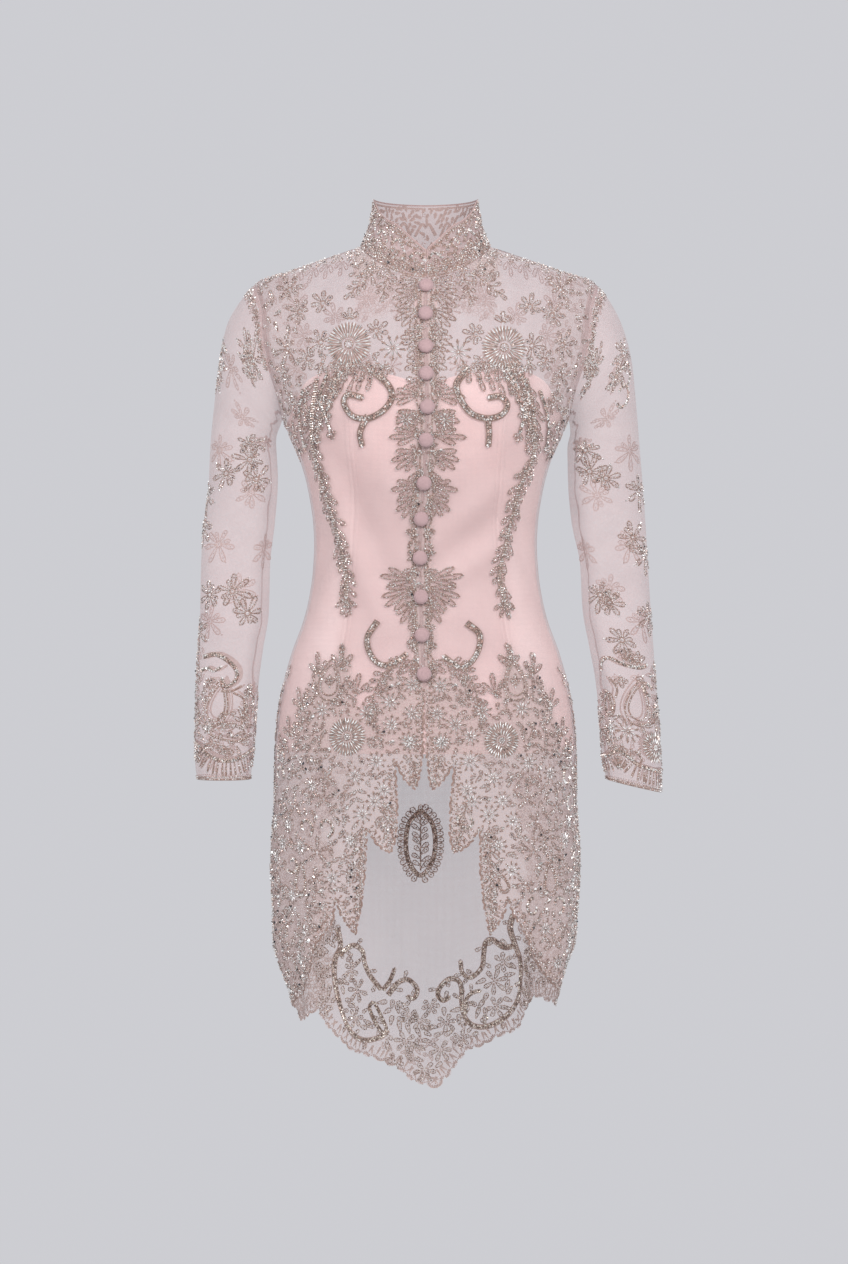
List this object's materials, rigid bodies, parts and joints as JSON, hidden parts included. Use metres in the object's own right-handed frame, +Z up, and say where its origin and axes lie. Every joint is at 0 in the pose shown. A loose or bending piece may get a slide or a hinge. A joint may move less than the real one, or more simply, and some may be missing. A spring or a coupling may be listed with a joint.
{
  "type": "kebaya blouse",
  "caption": "Sheer long-sleeved blouse with a stand-up collar, beaded lace, a fitted lining, covered buttons and a hem that falls to a point behind.",
  "frame": {"origin": "on the neck's axis, level with the side neck points where the wearer's shoulders carry the blouse", "axes": "+Z up along the body, +X to the wearer's left, -Y out of the buttoned front"},
  "size_m": [0.5418, 0.2644, 1.0678],
  "materials": {
    "net_lace": "sheer pink net under pale beaded lace",
    "dense_lace": "net closely covered with beads and cord",
    "lining_satin": "soft satin",
    "covered_button": "satin over a dome"
  },
  "bodies": {
    "root": {"back": "net_lace", "collar": "dense_lace", "front_left": "net_lace", "front_right": "net_lace", "lining_back": "lining_satin", "lining_front_left": "lining_satin", "lining_front_right": "lining_satin", "lining_side_left": "lining_satin", "lining_side_right": "lining_satin", "placket": "lining_satin", "sleeve_left": "net_lace", "sleeve_right": "net_lace", "button_01": "covered_button", "button_02": "covered_button", "button_03": "covered_button", "button_04": "covered_button", "button_05": "covered_button", "button_06": "covered_button", "button_07": "covered_button", "button_08": "covered_button", "button_09": "covered_button", "button_10": "covered_button", "button_11": "covered_button", "button_12": "covered_button"}
  },
  "joints": []
}
